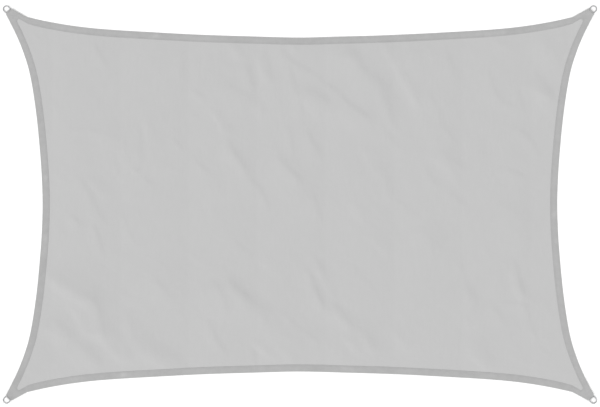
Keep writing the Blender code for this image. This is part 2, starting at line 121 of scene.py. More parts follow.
# Creases. Each follows its points on the picture, down or to the right. With a positive slope it
# falls off sharply towards the upper right and so reads as a dark line; with a negative one it
# rises sharply from the lower left and reads as a light line. The cloth comes back to its level
# over the gentle width on the other side.
CREASES = (
    # slope, sharp width, gentle width (pixels), points (pixels)
    # left of the middle
    (0.17, 4.5, 8, (224.5, 131), (229, 141), (233.5, 151), (238.5, 157.5), (246, 168), (252, 178)),
    (0.13, 3, 7, (247, 170), (253, 181), (259.5, 187), (263, 194), (268, 205), (270, 217)),
    (-0.13, 3.5, 8, (205, 104), (211.5, 113), (217, 122), (224, 134), (229, 143)),
    (0.18, 5.5, 10, (244.5, 58), (250.5, 75), (253.5, 88), (256.5, 95)),
    (0.14, 4.5, 8, (255.5, 95.5), (261.5, 105.5), (267.5, 122)),
    (-0.16, 4.5, 7, (252, 48), (255, 57), (258, 66), (262, 78), (265, 88)),
    (0.12, 3, 7, (261, 40), (265.5, 53), (269, 66), (272, 78), (276, 90)),
    (0.17, 3.2, 7, (186, 86), (192, 89), (203, 96), (211, 100)),
    (-0.08, 2.5, 6, (187, 90), (195, 97), (201, 102)),
    (0.09, 4.5, 9, (185, 46), (182.5, 58), (181, 68), (179, 80)),
    (0.10, 4, 8, (169, 130), (175, 138), (180, 146), (186, 154)),
    (0.15, 3.5, 8, (191, 154), (199, 162.5), (207, 170.5), (214, 179)),
    (-0.13, 4, 8, (217, 33), (225, 43), (232, 52), (240, 63)),
    (0.09, 3.5, 8, (234, 37), (240, 48), (247, 59), (252, 68)),
    (0.09, 3.5, 7, (220, 226), (229, 235), (239, 244), (248, 252), (257, 262)),
    # upper middle
    (0.12, 3.6, 8, (277, 40), (281, 48), (288, 58), (297, 63.5), (312, 71.5), (322, 80), (330, 87)),
    (0.15, 4, 8, (320, 78), (328, 84), (336, 89.5), (343, 97), (352, 105), (362, 112), (375, 122)),
    (-0.16, 3, 6, (281, 38), (288, 46), (294, 53), (301, 60)),
    (0.15, 3.4, 8, (288, 60), (291.5, 73), (295.5, 87), (299.5, 99), (302, 111), (306, 122)),
    (-0.12, 3, 7, (297, 92), (304, 102), (310, 111), (318, 121)),
    (0.10, 8, 12, (296, 82), (309, 89), (321, 95), (334, 103)),
    (0.15, 4.5, 8, (274, 151), (283, 161), (291, 169.5), (299, 178), (306, 186)),
    (0.15, 3, 6, (287, 120), (290.5, 134), (293, 148), (296, 160)),
    (0.14, 4.5, 9, (305, 124), (309, 131), (312, 140), (318, 150), (321, 166)),
    (0.10, 3, 9, (308.5, 184), (315.5, 198), (318.5, 210), (323.5, 229)),
    (-0.05, 2.5, 6, (311, 208), (316, 219)),
    (0.07, 6, 10, (222, 80), (236, 88), (248, 95), (260, 103)),
    # right of the middle
    (0.11, 5, 9, (352.5, 44.5), (358.5, 57.5), (363.5, 67.5), (370.5, 74.5)),
    (0.08, 7, 12, (362, 64), (372, 74), (383, 83), (394, 94)),
    (0.12, 5, 8, (381, 84), (386, 98), (390, 110), (396, 124), (402, 134)),
    (-0.14, 4.5, 9, (374, 34), (380, 45), (387.5, 58), (392.5, 66),
     (396.5, 75), (402.5, 85), (408.5, 95), (420, 115)),
    (-0.02, 3.5, 9, (419, 114), (424, 128), (430, 143), (438, 162)),
    (0.10, 4.2, 9, (424.5, 85), (431.5, 97), (437.5, 108), (442.5, 123), (448, 130), (460, 148)),
    (0.09, 6, 10, (436, 143), (445, 153), (455, 161), (466, 172)),
    (-0.06, 4, 8, (418, 152), (430, 159), (441, 166), (450, 176), (459, 190), (465, 200)),
    (0.11, 3.5, 7, (422, 161), (429, 172.5), (437, 184), (444, 194)),
    (0.07, 6, 11, (444, 182), (454, 193), (463, 204), (471, 216)),
    (-0.10, 4.5, 9, (364, 233), (374, 244), (383, 253), (393, 262)),
    (-0.10, 3.5, 8, (356, 140), (363, 155), (370, 168), (377, 180)),
    (-0.09, 6, 9, (368, 163), (378, 180), (387, 197), (395, 208)),
    (0.08, 3.5, 8, (378, 121), (389, 135), (401, 148), (410, 158)),
    (-0.10, 4, 8, (343, 194), (350.5, 205), (358, 217), (366, 228)),
    # upper right
    (0.08, 4.5, 9, (530, 65), (537, 75), (546, 85), (555, 99)),
    (-0.18, 4.5, 8, (532, 89), (541, 96), (549.5, 102), (558, 105)),
    (0.16, 3.5, 6, (559, 29), (567, 38)),
    (0.08, 2.8, 12, (466, 39.5), (475, 51.5), (482, 62.5)),
    (0.16, 4, 8, (489, 38.5), (502, 41.5), (516, 44.5)),
    (0.14, 3, 8, (486, 64), (491, 78), (495, 90), (503, 101), (515, 106), (524, 110)),
    (0.08, 5, 8, (444, 46), (450, 60), (456, 74), (461, 86)),
    (0.14, 3.5, 8, (514, 84), (519, 95), (523, 107), (529, 116)),
    (0.14, 4.2, 9, (505, 124), (514, 126.5), (525, 133), (532, 142), (537.5, 152), (541, 162)),
    (0.12, 4.5, 9, (499, 165), (515, 172), (529, 178)),
    # lower middle
    (0.14, 5, 9, (225, 275), (230, 280), (236.5, 286.5), (243.5, 292.5), (250, 298), (257, 304)),
    (0.05, 8, 12, (250, 297), (262, 303), (277, 313)),
    (0.11, 3.4, 8, (274, 304), (286, 315), (298, 326), (308, 333), (317, 340), (325, 348)),
    (0.14, 3.5, 7, (212, 276), (218.5, 288), (225, 299), (229, 312), (233, 322)),
    (-0.06, 3, 7, (257, 311), (259, 320), (262, 331)),
    (-0.17, 4, 7, (246, 338), (255, 346), (265, 355.5), (275, 364)),
    (-0.12, 3, 6, (272, 345), (281, 353), (291, 362), (300, 371)),
    (0.16, 3, 6, (250, 341), (253.5, 351), (256.5, 362), (259, 372)),
    (0.20, 4, 7, (308, 264), (311, 274), (314, 285), (318.5, 295), (323.5, 305), (328, 314)),
    (0.10, 3.8, 7, (328, 300), (335, 305), (342, 312), (348, 320), (354, 328), (360, 335)),
    (0.05, 5, 10, (352, 323.5), (365.5, 330.5), (370.5, 340), (374.5, 352)),
    (-0.13, 3.5, 7, (313, 262), (318, 274), (323.5, 286), (330, 296), (338, 304)),
    (-0.07, 3.5, 7, (327, 306), (335, 316), (343, 326), (351, 336)),
    (-0.15, 4, 8, (338, 333), (345, 341.5), (353, 350), (362, 360)),
    (-0.08, 4, 8, (357, 333), (365, 345), (373, 359)),
    (0.12, 3.5, 7, (312, 248), (317, 259), (322, 269), (328, 280)),
    (0.13, 3.3, 8, (204, 312), (210, 325), (216, 337), (224, 350), (231, 360)),
    (-0.08, 4, 7, (204, 333), (214, 347)),
    (0.13, 3.5, 9, (150, 270), (159, 281), (168, 291), (175.5, 292.5)),
    (0.08, 3, 7, (150, 251), (159, 260), (168, 268), (177, 277)),
    # lower left
    (-0.06, 7, 14, (48, 266), (62, 273), (76, 281), (90, 290), (98, 300)),
    (-0.15, 5, 14, (37, 274), (46, 280), (56, 288), (64, 293), (71, 299), (83, 302.5), (92, 308)),
    (0.12, 3.5, 8, (84, 295), (94, 300), (99.5, 310), (101.5, 322), (105, 335), (109, 344)),
    (-0.13, 4.5, 8, (65, 299), (72, 311), (79, 323), (84, 334),
     (98, 338.5), (105, 348), (115, 358), (125, 370)),
    (0.09, 7, 10, (50, 313), (60, 324), (69, 333), (78, 341)),
    (0.10, 7, 10, (76, 339), (86, 348), (97, 358), (108, 369)),
    (0.08, 4, 8, (38, 319), (47, 326), (57, 332), (67, 340)),
    (0.11, 4.5, 9, (129.5, 312), (130.5, 321), (132.5, 331), (139, 343),
     (150, 354), (164, 361), (178, 366)),
    # left
    (0.13, 4.5, 9, (74, 172), (83, 182), (89.5, 192), (94, 203), (101, 215), (109, 226)),
    (-0.11, 4, 9, (83, 173), (91, 184), (100, 195), (110, 205)),
    (0.22, 3, 7, (90, 216), (95.5, 229), (100, 241), (102.5, 253), (106, 264)),
    (0.16, 3, 6, (66, 208), (73, 216), (79.5, 222.5), (87, 230)),
    (0.16, 3.5, 8, (91, 37), (97, 48), (104, 60.5), (110, 70)),
    (0.09, 3.2, 7, (62, 134), (73, 129), (86, 128), (99, 132), (110, 138)),
    (0.05, 7, 10, (98, 125), (112, 135), (124, 146)),
    (0.14, 3.4, 7, (138, 119), (140, 140), (140, 167)),
    (-0.12, 3, 6, (142, 113), (146, 133), (149, 147)),
    (-0.15, 3, 6, (130, 168), (137, 177)),
    (0.06, 3.5, 7, (121, 132), (125, 146), (129, 159), (134, 168), (140, 177)),
    (-0.08, 3.5, 7, (101, 158), (111, 169), (120, 180), (127, 189)),
    (0.10, 3.2, 6, (116, 202), (122, 213), (127, 224), (132, 236), (138, 247)),
    (0.11, 3, 7, (138, 169), (144, 177), (151, 184), (158, 192)),
    # right
    (0.19, 3.6, 8, (515, 256), (517, 268), (519.5, 281), (524, 294), (529, 303)),
    (-0.10, 3.2, 6, (509, 279), (514, 289), (519, 299), (525, 308)),
    (0.08, 7, 10, (514, 274), (524, 286), (534, 299), (542, 309)),
    (0.13, 3.4, 7, (496, 301), (509, 302), (522, 303.5), (536, 307)),
    (0.13, 3.2, 7, (521, 297), (526, 309), (530, 320), (534, 333), (540, 346)),
    (0.05, 8, 12, (462, 288), (471, 299), (480, 311)),
    (0.10, 4, 8, (457, 251), (461.5, 266), (466, 281), (473, 294), (482, 305)),
    (0.09, 5, 9, (487, 296), (494, 306), (501, 316.5), (509, 329)),
    (0.05, 4.5, 9, (477, 338), (490, 355), (499, 369)),
    (-0.13, 3.2, 7, (464, 350), (473, 358.5), (483, 368), (492, 377)),
    (-0.09, 4.5, 8, (382, 321), (391, 332), (401, 345), (409, 356)),
)
CREASE_WIDTH = 0.85  # of the widths above, which the picture's blur makes a little too large
CREASE_FADE = 0.075  # a crease fades in and out over this length, or half of its own
CREASE_STEPS = 4  # straight pieces between two of a crease's points
CREASE_REACH = 2.5  # gentle widths within which a crease is worked out
STEEPEST = math.sqrt(2 / math.e)  # steepest slope of a bell curve of height and width 1
CREST_SHIFT = math.sqrt(0.5)  # distance of that place from the crest, in sharp widths
CREASES_AT_EDGE = (0.006, 0.045)  # from the edge, where creases begin and are full
LIFT = 0.0022  # of the cloth between its edges, so that no hollow meets the floor
LIFT_AT_EDGE = (0.006, 0.200)  # and where this lift begins and is full
SOFTEST = 0.0003  # how gently the cloth's underside comes down on the floor

# Shallow streaks over the whole cloth. They lie as most creases do, and wander a little.
STREAKS = (
    # length, width, height
    (0.300, 0.110, 0.0007),
    (0.150, 0.060, 0.0005),
    (0.075, 0.036, 0.0004),
    (0.036, 0.020, 0.00028),
)
STREAK_SHIFT = (7, 11)  # in the noise, from one kind of streak to the next
WANDER = 0.060
WANDER_LENGTH = 0.350
WANDER_SEED = 5
LIE_ALONG = (0.3, -1.1)  # what X and Y add to the distance along the streaks
LIE_ACROSS = 0.85
LIE_SLANT = 0.55
LIE_BEND = 0.20
NOISE_SIZE = 64

# Grid lines of one quarter of the cloth, counted inwards from its outline.
HEM_INSETS = np.array((0.0, 1.5, 6.0, 12.0, 18.0, 24.0, 30.0, 34.5, 36.0)) * MM
FIELD_INSET = 0.0375
INSETS = np.append(HEM_INSETS, FIELD_INSET)
HEM_LINE = len(HEM_INSETS) - 1
FIELD_LINE = HEM_LINE + 1
BEND_CELLS = 4  # from the hem's foot to the last point of a side's curve
LONG_CELLS = 160  # from there to the side's middle
SHORT_CELLS = 102
COLUMNS = FIELD_LINE + BEND_CELLS + LONG_CELLS
ROWS = FIELD_LINE + BEND_CELLS + SHORT_CELLS

# Layers of the cloth above its solid's underside. The hem is pressed thin where it is sewn.
LOWER = 0.0003
HEM_RADIUS = 0.0007
HEM_AT_SEAM = 0.0006
HEM_THINS_AT = (0.012, 0.030)  # from the edge
HEM_END = 0.2  # share of the way to the next grid line, where its inner edge comes down
ROLL_ANGLES = (-90, -50, -15, 20, 55)
PUCKER = 0.00025
PUCKER_LENGTH = 0.016
PUCKER_SEED = 3
PUCKERS_AT_EDGE = (0.0, 0.010)  # from the edge, where puckers begin and are full

# The hem is a little darker along both edges and has paler places.
HEM_DARKEST = -0.038
HEM_PALEST = 0.030
HEM_TONE = "hem_tone"
HEM_CHANGE = 0.110  # its tone changes over about this length
HEM_CHANGE_SEED = 9
HEM_MARKS = (
    # x and y on the picture, half length (pixels), tone
    (155.5, 36, 3.5, 0.090),
    (201, 40, 7, 0.045),
    (425, 41, 9, 0.020),
    (486, 37, 4, 0.055),
    (502, 34.5, 7, 0.035),
    (554, 214, 3, 0.085),
    (555.5, 239.5, 2.5, 0.055),
    (45, 177, 3, 0.075),
    (46, 231.5, 2.5, -0.045),
    (45.5, 238, 4, 0.085),
    (45, 250, 3, 0.055),
    (75, 379.5, 5, 0.025),
    (123.5, 374.5, 3.5, 0.130),
    (197, 370.5, 6, 0.025),
    (315, 368, 6, -0.025),
    (350, 368.5, 8, 0.030),
    (490, 376.5, 10, 0.035),
)

# Corners, with the signs of their X and Y.
CORNERS = {"ne": (1, 1), "nw": (-1, 1), "sw": (-1, -1), "se": (1, -1)}

# Sewing thread.
HEM_ROWS = (0.0290, 0.0335)  # distances of the rows from the edge
HEM_ROW_POINTS = (300, 200)  # of half a long and half a short side
STITCH_PITCH = 0.0040
STITCH_LENGTH = 0.0034
STITCH_WIDTH = 0.0008
STITCH_PROFILE = (
    # share of the length, of the width, of the height
    (0.0, 0.0, 0.0), (0.15, 0.8, 0.7), (0.5, 1.0, 1.0), (0.85, 0.8, 0.7), (1.0, 0.0, 0.0),
)
STITCH_SECTION = ((-1, 0), (-0.6, 0.8), (0.6, 0.8), (1, 0))  # sideways and up, in half widths
STITCH_LIFT = 0.1  # half widths above the cloth
CORNER_BOX = (0.027, 0.065)  # where the box of stitches starts and ends, inwards from the eye
CORNER_BOX_WIDTH = 0.018

# Steel D-ring, as the solid has it.
WIRE = 0.0050
WIRE_CORNER = WIRE / 2 / math.cos(math.pi / 12)
RING_HALF_WIDTH = 0.0156
RING_CORNER = 0.0035
BOW_CENTRE = 0.0007  # inwards from the eye's middle
BAR = 0.0167  # inwards from the eye's middle
BOW_HEIGHT = 0.00254  # of the wire's middle, where the bow's tip touches the floor

# Webbing loop, as the solid has it.
WEBBING_THICKNESS = 0.0015
WEBBING_WIDTH = 0.0245
WEBBING_TAIL = 0.058
WEBBING_WRAP = (-90, -315)  # degrees round the bar where the tape meets and leaves it
WEBBING_STRIPS = 8
WEBBING_EDGE = 0.0004
GAP = 0.0005
BAR_HEIGHT = WEBBING_THICKNESS + GAP + WIRE_CORNER

# Knitted cloth. Wales run along Y and courses along X.
WALE = 0.0030
COURSE = 0.0022
LOOP_LEAN = 0.9  # the loops of a chain lean out to both sides
LAID_SLANT = 0.4  # and the flat tapes laid in between the chains slant
BAND = 0.3495  # the knitting machine leaves faint bands of this width
BAND_START = -0.927
BAND_RISE = 0.05  # share of its width over which a band turns from dark to pale
BAND_TONE = 0.013
WALE_STREAK = (0.012, 0.070)  # width and length of faint streaks along the wales
WALE_STREAK_TONE = 0.040

# Woven webbing and sewing thread.
TAPE_MAP = "tape"
CORD_PITCH = 0.0017
RIB_PITCH = 0.0011
RIB_LEAN = 0.8
TWIST_PITCH = 0.0006

# Finishes.
CLOTH_COLOUR = (0.4715, 0.4715, 0.4715)
CLOTH_PATCH = 0.200  # size of the paler and darker patches
CLOTH_PATCH_TONE = 0.02
HEM_COLOUR = (0.391, 0.391, 0.391)
HEM_PATCH = 0.030
HEM_PATCH_TONE = 0.16
WEBBING_COLOUR = (0.430, 0.430, 0.430)
THREAD_COLOUR = (0.400, 0.400, 0.400)
STEEL_COLOUR = (0.40, 0.40, 0.41)
FLOOR_COLOUR = (0.95, 0.95, 0.95)

# Set.
SKY_LIGHT = 0.935
SUN_STRENGTH = 1.25
SUN_DIRECTION = (0.5, 0.5, -0.7071)  # from the picture's lower left
SUN_ANGLE = 25
LENS = 100
SENSOR = 36
PICTURE_WIDTH = 600
AIM_PIXEL = (299.5, 203.0)  # the camera is straight above this pixel
FLOOR_REACH = 40  # from its middle to its sides
FLOOR_HEIGHT = -0.0003


# ---------------- shape of the cloth


def smooth_step(low, high, value):
    """Rise from 0 at low to 1 at high, level at both."""
    t = np.clip((value - low) / (high - low), 0.0, 1.0)
    return t * t * (3 - 2 * t)


def side_at(rows, tip, along):
    """Distance of a side of the outline from the middle line."""
    x, y = rows.T
    slopes = np.zeros(len(rows))
    slopes[1:-1] = (y[2:] - y[:-2]) / (x[2:] - x[:-2])
    slopes[-1] = (y[-1] - y[-2]) / (x[-1] - x[-2])
    i = np.clip(np.searchsorted(x, along, side="right") - 1, 0, len(rows) - 2)
    run = x[i + 1] - x[i]
    rise = y[i + 1] - y[i]
    t = (along - x[i]) / run
    a = slopes[i] * run - rise
    b = rise - slopes[i + 1] * run
    height = y[i] + t * rise + t * (1 - t) * (a * (1 - t) + b * t)
    straight = (tip[1] - y[-1]) / (tip[0] - x[-1])
    return np.where(along >= x[-1], y[-1] + straight * (along - x[-1]), height)


def long_point(along, inset):
    """Points that lie straight in along Y from the upper side."""
    along, inset = np.broadcast_arrays(along, inset)
    inset = inset * (1 - HEM_DRAWS_IN * smooth_step(*DRAWS_IN_AT, along))
    return np.stack((along, side_at(LONG_SIDE, LONG_TIP, along) - inset), axis=-1)


def short_point(along, inset):
    """Points that lie straight in along X from the right side."""
    along, inset = np.broadcast_arrays(along, inset)
    return np.stack((side_at(SHORT_SIDE, SHORT_TIP, along) - inset, along), axis=-1)


def on_diagonal(inwards):
    """Point that lies in from the eye's middle, straight along the corner's diagonal."""
    return np.array((SPAN_X / 2 - inwards * DIAGONAL, SPAN_Y / 2 - inwards * DIAGONAL))


def cross(a, b):
    return a[..., 0] * b[..., 1] - a[..., 1] * b[..., 0]


def between(a, b, t):
    return a + (b - a) * t[..., None]


def blend_patch(s, t, sides, corners):
    """Points of a four-sided patch, from the points at s and t on its sides and its corners."""
    near, far, left, right = sides
    c00, c10, c01, c11 = corners
    flat = between(between(c00, c10, s), between(c01, c11, s), t)
    return between(near, far, t) + between(left, right, s) - flat


def stations(foot, bend, cells):
    """Distances along a side at its grid lines, from the hem's foot to the side's middle."""
    near = np.linspace(foot, bend, BEND_CELLS + 1)
    return np.append(near, np.linspace(bend, 0.0, cells + 1)[1:])


def flank(tip, foot, share):
    """Points of a corner's outline, from the middle of its tip, round the tip's end, to a foot."""
    first = between(TIP_MIDDLE, tip, np.clip(2 * share, 0, 1))
    return first + (foot - tip) * np.clip(2 * share - 1, 0, 1)[..., None]


def corner_patch():
    """Points of the hem's corner, from the cloth's blunt tip inwards."""
    share = HEM_INSETS / HEM_WIDTH
    s, t = np.meshgrid(share, share, indexing="ij")
    inner = on_diagonal(HEM_CORNER)
    long_foot = long_point(inner[0], 0.0)
    short_foot = short_point(inner[1], 0.0)
    sides = (
        flank(LONG_TIP, long_foot, s),
        between(short_foot, inner, s),
        flank(SHORT_TIP[::-1], short_foot, t),
        between(long_foot, inner, t),
    )
    return blend_patch(s, t, sides, (TIP_MIDDLE, long_foot, short_foot, inner))


def field_patch(along_x, along_y):
    """Points of the field inside the hem, from its corner to the sail's middle."""
    corner = on_diagonal(FIELD_CORNER)
    top = long_point(along_x, FIELD_INSET)
    right = short_point(along_y, FIELD_INSET)
    top[0] = right[0] = corner
    s, t = np.meshgrid(top[:, 0] / corner[0], right[:, 1] / corner[1], indexing="ij")
    top_middle = long_point(0.0, FIELD_INSET)
    right_middle = short_point(0.0, FIELD_INSET)
    sides = (s[..., None] * right_middle, top[:, None], t[..., None] * top_middle, right[None])
    return blend_patch(s, t, sides, (np.zeros(2), right_middle, top_middle, corner))


def quarter_plan():
    """Places of all grid points in the +X +Y quarter, as an array over columns and rows."""
    along_x = stations(LONG_FOOT, LONG_SIDE[-1, 0], LONG_CELLS)
    along_y = stations(SHORT_FOOT, SHORT_SIDE[-1, 0], SHORT_CELLS)
    plan = np.zeros((COLUMNS + 1, ROWS + 1, 2))
    plan[FIELD_LINE:, :FIELD_LINE + 1] = long_point(along_x[:, None], INSETS[None, :])
    plan[:FIELD_LINE + 1, FIELD_LINE:] = short_point(along_y[None, :], INSETS[:, None])
    plan[:HEM_LINE + 1, :HEM_LINE + 1] = corner_patch()
    plan[FIELD_LINE:, FIELD_LINE:] = field_patch(along_x, along_y)
    return plan


def whole_plan():
    """Places of all grid points, and how many lines in from the outline each one lies."""
    quarter = quarter_plan()
    i = np.arange(2 * COLUMNS + 1)
    j = np.arange(2 * ROWS + 1)
    column = np.minimum(i, 2 * COLUMNS - i)
    row = np.minimum(j, 2 * ROWS - j)
    plan = quarter[column[:, None], row[None, :]]
    plan[..., 0] *= np.sign(i - COLUMNS)[:, None]
    plan[..., 1] *= np.sign(j - ROWS)[None, :]
    return plan, np.minimum(column[:, None], row[None, :])


def from_edge(x, y):
    """Distance from the nearer long or short side."""
    from_long = side_at(LONG_SIDE, LONG_TIP, abs(x)) - abs(y)
    from_short = side_at(SHORT_SIDE, SHORT_TIP, abs(y)) - abs(x)
    return np.minimum(from_long, from_short)


def fold_height(x, y, fold):
    """Height that one main fold adds."""
    x0, y0, x1, y1, rise, fall, height = fold
    way = np.array((x1 - x0, y1 - y0))
    length = math.hypot(*way)
    offset = np.stack((x - (x0 + x1) / 2, y - (y0 + y1) / 2), axis=-1)
    along = abs(offset @ way) / (length * length / 2)
    across = cross(way, offset) / length
    width = np.where(across > 0, fall, rise)
    return height * (1 - smooth_step(*FOLD_TAPER, along)) * np.exp(-((across / width) ** 2))


def rounded(points, steps):
    """A smooth path through the points."""
    ends = np.vstack((2 * points[0] - points[1], points, 2 * points[-1] - points[-2]))
    t = np.arange(steps)[:, None] / steps
    path = []
    for a, b, c, d in zip(ends, ends[1:], ends[2:], ends[3:]):
        path.append(0.5 * (2 * b + (c - a) * t + (2 * a - 5 * b + 4 * c - d) * t**2
                           + (3 * b - a - 3 * c + d) * t**3))
    return np.vstack((*path, points[-1:]))


def distances(points):
    """How far along a path each of its points lies."""
    steps = np.linalg.norm(np.diff(points, axis=0), axis=1)
    return np.append(0.0, np.cumsum(steps))


def from_path(path, place):
    """How far each place lies along a path and across it (to its left), and the path's length."""
    starts = distances(path)
    nearest = np.full(len(place), np.inf)
    across = np.zeros(len(place))
    along = np.zeros(len(place))
    for start, way, before, length in zip(path, np.diff(path, axis=0), starts, np.diff(starts)):
        offset = place - start
        share = np.clip(offset @ way / length**2, 0.0, 1.0)
        away = np.linalg.norm(offset - share[:, None] * way, axis=1)
        closer = away < nearest
        nearest[closer] = away[closer]
        side = np.sign(cross(way, offset))
        across[closer] = (side * away)[closer]
        along[closer] = (before + share * length)[closer]
    return along, across, starts[-1]


def crease_height(x, y, crease):
    """Height that one crease adds."""
    slope, sharp, gentle, *pixels = crease
    points = (np.array(pixels, float) - MIDDLE_PIXEL) * (PIXEL, -PIXEL)
    path = rounded(points, CREASE_STEPS)
    sharp = sharp * CREASE_WIDTH * PIXEL
    gentle = gentle * CREASE_WIDTH * PIXEL
    reach = CREASE_REACH * gentle
    low = path.min(axis=0) - reach
    high = path.max(axis=0) + reach
    near = (x > low[0]) & (x < high[0]) & (y > low[1]) & (y < high[1])
    along, across, length = from_path(path, np.stack((x[near], y[near]), axis=-1))
    fade = min(CREASE_FADE, length / 2)
    strength = smooth_step(0, fade, along) * (1 - smooth_step(length - fade, length, along))
    turned = np.sign(slope) * across + CREST_SHIFT * sharp
    width = np.where(turned > 0, sharp, gentle)
    height = np.zeros_like(x)
    height[near] = abs(slope) * sharp / STEEPEST * strength * np.exp(-((turned / width) ** 2))
    return height


def main_folds(x, y):
    """Height of the solid's underside: its raised corners and its main folds."""
    inwards = (SPAN_X / 2 - abs(x) + SPAN_Y / 2 - abs(y)) * DIAGONAL
    share = FLAT_AT_HEM + (1 - FLAT_AT_HEM) * smooth_step(0.0, FREE_OF_HEM, from_edge(x, y))
    return np.interp(inwards, *CORNER_LIFT.T) + share * sum(fold_height(x, y, f) for f in FOLDS)


def cloud(along, across, seed):
    """Smooth random values from -1 to 1, with one hump or hollow to each unit."""
    table = np.random.RandomState(seed).uniform(-1, 1, (NOISE_SIZE, NOISE_SIZE))
    i = np.floor(along).astype(int)
    j = np.floor(across).astype(int)
    s = smooth_step(0, 1, along - i)
    t = smooth_step(0, 1, across - j)
    corners = [table[(i + a) % NOISE_SIZE, (j + b) % NOISE_SIZE] for a in (0, 1) for b in (0, 1)]
    low = corners[0] + (corners[1] - corners[0]) * t
    high = corners[2] + (corners[3] - corners[2]) * t
    return low + (high - low) * s


def lie(x, y):
    """Distances along and across the way in which the streaks lie, which bends over the sail."""
    along = LIE_ALONG[0] * x + LIE_ALONG[1] * y
    return along, LIE_ACROSS * (x + LIE_SLANT * y - LIE_BEND * y * y)


def unevenness(x, y):
    """Height of the shallow streaks between the creases."""
    along, across = lie(x, y)
    wander = WANDER * cloud(along / WANDER_LENGTH, across / WANDER_LENGTH, WANDER_SEED)
    height = np.zeros_like(x)
    for seed, (length, width, size) in enumerate(STREAKS):
        u = along / length + STREAK_SHIFT[0] * seed
        v = (across + wander) / width + STREAK_SHIFT[1] * seed
        height += size * cloud(u, v, seed)
    return height


def creases(x, y):
    """Height of all creases and streaks, which end at the cloth's edge."""
    share = smooth_step(*CREASES_AT_EDGE, from_edge(x, y))
    return share * (unevenness(x, y) + sum(crease_height(x, y, crease) for crease in CREASES))


def underside(x, y):
    """Height of the sheet's underside, which rounds off where it comes down on the floor."""
    lift = LIFT * smooth_step(*LIFT_AT_EDGE, from_edge(x, y))
    height = main_folds(x, y) + creases(x, y) + lift
    return (height + np.hypot(height, SOFTEST)) / 2


# ---------------- meshes


def add_object(name, data):
    """A new object of the data, put into the scene."""
    made = bpy.data.objects.new(name, data)
    bpy.context.scene.collection.objects.link(made)
    return made


def mesh_object(name, points, faces, material):
    mesh = bpy.data.meshes.new(name)
    mesh.from_pydata(np.asarray(points).tolist(), [], faces)
    mesh.shade_smooth()
    mesh.materials.append(material)
    return add_object(name, mesh)


def grid_faces(index):
    """Faces of the cells of a grid of point indices, where all four points have one (not -1)."""
    cells = np.stack((
        index[..., :-1, :-1], index[..., 1:, :-1], index[..., 1:, 1:], index[..., :-1, 1:],
    ), axis=-1)
    return cells[(cells >= 0).all(axis=-1)].tolist()


def band_faces(low, high):
    """Faces between two closed lines of points, given as arrays of indices."""
    return np.stack((low, np.roll(low, -1), np.roll(high, -1), high), axis=1).tolist()


def set_all(thing, **values):
    for name, value in values.items():
        setattr(thing, name, value)


class Skin:
    """Points and faces of a mesh that is put together part by part."""

    def __init__(self):
        self.points = []
        self.faces = []
        self.count = 0

    def add(self, points):
        """Take in more points, and tell their indices."""
        self.points.append(points)
        self.count += len(points)
        return np.arange(self.count - len(points), self.count)


def walk(line):
    """Grid indices of the closed line that is so many lines in from the outline, anticlockwise."""
    last_i = 2 * COLUMNS - line
    last_j = 2 * ROWS - line
    loop = [(i, line) for i in range(line, last_i)]
    loop += [(last_i, j) for j in range(line, last_j)]
    loop += [(i, last_j) for i in range(last_i, line, -1)]
    loop += [(line, j) for j in range(last_j, line, -1)]
    return tuple(np.array(loop).T)


def ways_out(outline):
    """Level unit vectors straight out from a closed line of points."""
    way = np.roll(outline, -1, axis=0) - np.roll(outline, 1, axis=0)
    outward = np.stack((way[:, 1], -way[:, 0]), axis=1)
    return outward / np.linalg.norm(outward, axis=1)[:, None]


def hem_top(plan, line, base):
    """Height of the hem's upper face, over the solid's underside."""
    x, y = plan[..., 0], plan[..., 1]
    thin = smooth_step(*HEM_THINS_AT, INSETS[np.minimum(line, FIELD_LINE)])
    upper = LOWER + 2 * HEM_RADIUS + thin * (HEM_AT_SEAM - 2 * HEM_RADIUS)
    pucker = PUCKER * cloud(x / PUCKER_LENGTH, y / PUCKER_LENGTH, PUCKER_SEED)
    return base + upper + smooth_step(*PUCKERS_AT_EDGE, from_edge(x, y)) * pucker


def roll_over(skin, outline, outward, base, top_line):
    """Roll the hem from under the sheet's edge round and up to the outermost line of its top."""
    lines = []
    for angle in np.radians(ROLL_ANGLES):
        out = HEM_RADIUS * (math.cos(angle) - 1)
        height = base + LOWER + HEM_RADIUS + HEM_RADIUS * math.sin(angle)
        lines.append(skin.add(np.column_stack((outline + out * outward, height))))
    lines.append(top_line)
    for low, high in zip(lines, lines[1:]):
        skin.faces += band_faces(low, high)


def bring_down(skin, plan, base, top):
    """Bring the hem's inner edge down onto the sheet."""
    edge = walk(HEM_LINE)
    beyond = (
        np.clip(edge[0], FIELD_LINE, 2 * COLUMNS - FIELD_LINE),
        np.clip(edge[1], FIELD_LINE, 2 * ROWS - FIELD_LINE),
    )
    foot = plan[edge] + (plan[beyond] - plan[edge]) * HEM_END
    foot_line = skin.add(np.column_stack((foot, base[edge] + LOWER)))
    skin.faces += band_faces(top[edge], foot_line)


def hem_tones(x, y, line):
    """How much paler than usual the hem is at its points, which lie so many lines in."""
    middle = np.sin(math.pi * HEM_INSETS[line] / HEM_WIDTH)
    change = 0.5 + 0.5 * cloud(x / HEM_CHANGE, y / HEM_CHANGE, HEM_CHANGE_SEED)
    tone = HEM_DARKEST + (HEM_PALEST - HEM_DARKEST) * middle * change
    for mark_x, mark_y, half_length, paler in HEM_MARKS:
        away_x = x / PIXEL + MIDDLE_PIXEL[0] - mark_x
        away_y = MIDDLE_PIXEL[1] - y / PIXEL - mark_y
        tone += paler * middle * np.exp(-(away_x**2 + away_y**2) / half_length**2)
    return tone


